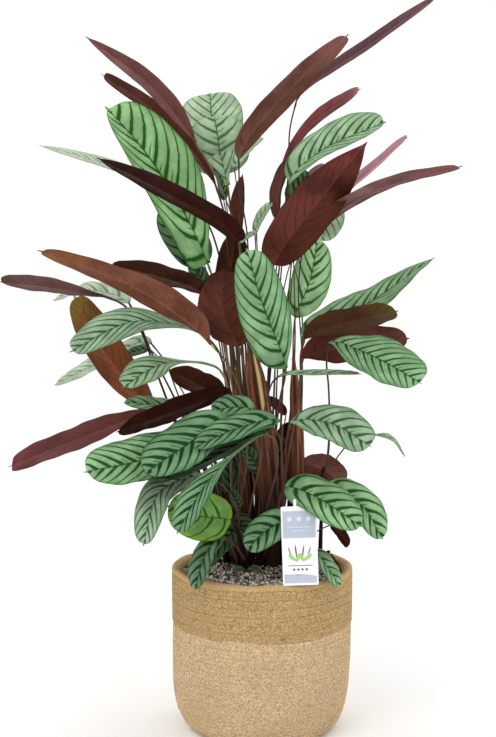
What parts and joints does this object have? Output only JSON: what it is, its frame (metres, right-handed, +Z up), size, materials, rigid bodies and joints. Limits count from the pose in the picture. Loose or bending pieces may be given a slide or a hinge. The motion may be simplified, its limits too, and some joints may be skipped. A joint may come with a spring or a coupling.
{
  "type": "calathea plant in basket",
  "caption": "Potted foliage plant: long stalks carry striped green leaves with wine-red undersides, rising from soil under gravel in a round woven jute basket with a hang tag.",
  "frame": {"origin": "centre of the basket's flat base", "axes": "+Z up, -Y is the plant's front, +X to the right as seen from the front"},
  "size_m": [0.5954, 0.4125, 0.9704],
  "materials": {
    "jute": "matte",
    "liner_plastic": "satin",
    "soil": "matte",
    "gravel": "matte",
    "label_card": "satin",
    "cane_sheath": "satin",
    "leaf_green": "satin",
    "leaf_wine": "satin"
  },
  "bodies": {
    "root": {"basket": "jute", "liner": "liner_plastic", "potting_soil": "soil", "gravel_topdressing": "gravel", "plant_label": "label_card", "cane_main": "cane_sheath", "cane_right": "cane_sheath", "cane_left": "cane_sheath", "leaf_01": "leaf_wine", "leaf_02": "leaf_wine", "leaf_03": "leaf_green", "leaf_04": "leaf_wine", "leaf_05": "leaf_green", "leaf_06": "leaf_green", "leaf_07": "leaf_wine", "leaf_08": "leaf_wine", "leaf_09": "leaf_wine", "leaf_10": "leaf_green", "leaf_11": "leaf_wine", "leaf_12": "leaf_wine", "leaf_13": "leaf_wine", "leaf_14": "leaf_wine", "leaf_15": "leaf_green", "leaf_16": "leaf_green", "leaf_17": "leaf_wine", "leaf_18": "leaf_green", "leaf_19": "leaf_wine", "leaf_20": "leaf_wine", "leaf_21": "leaf_wine", "leaf_22": "leaf_wine", "leaf_23": "leaf_green", "leaf_24": "leaf_green", "leaf_25": "leaf_wine", "leaf_26": "leaf_green", "leaf_27": "leaf_wine", "leaf_28": "leaf_green", "leaf_29": "leaf_green", "leaf_30": "leaf_green", "leaf_31": "leaf_wine", "leaf_32": "leaf_wine", "leaf_33": "leaf_green", "leaf_34": "leaf_wine", "leaf_35": "leaf_wine", "leaf_36": "leaf_green", "leaf_37": "leaf_green", "leaf_38": "leaf_green", "leaf_39": "leaf_green", "leaf_40": "leaf_green", "leaf_41": "leaf_green", "leaf_42": "leaf_green", "leaf_43": "leaf_green", "leaf_44": "leaf_green", "leaf_45": "leaf_green", "leaf_46": "leaf_green", "leaf_47": "leaf_green", "leaf_48": "leaf_green", "leaf_49": "leaf_wine", "leaf_50": "leaf_green", "leaf_51": "leaf_green", "leaf_52": "leaf_green"}
  },
  "joints": []
}
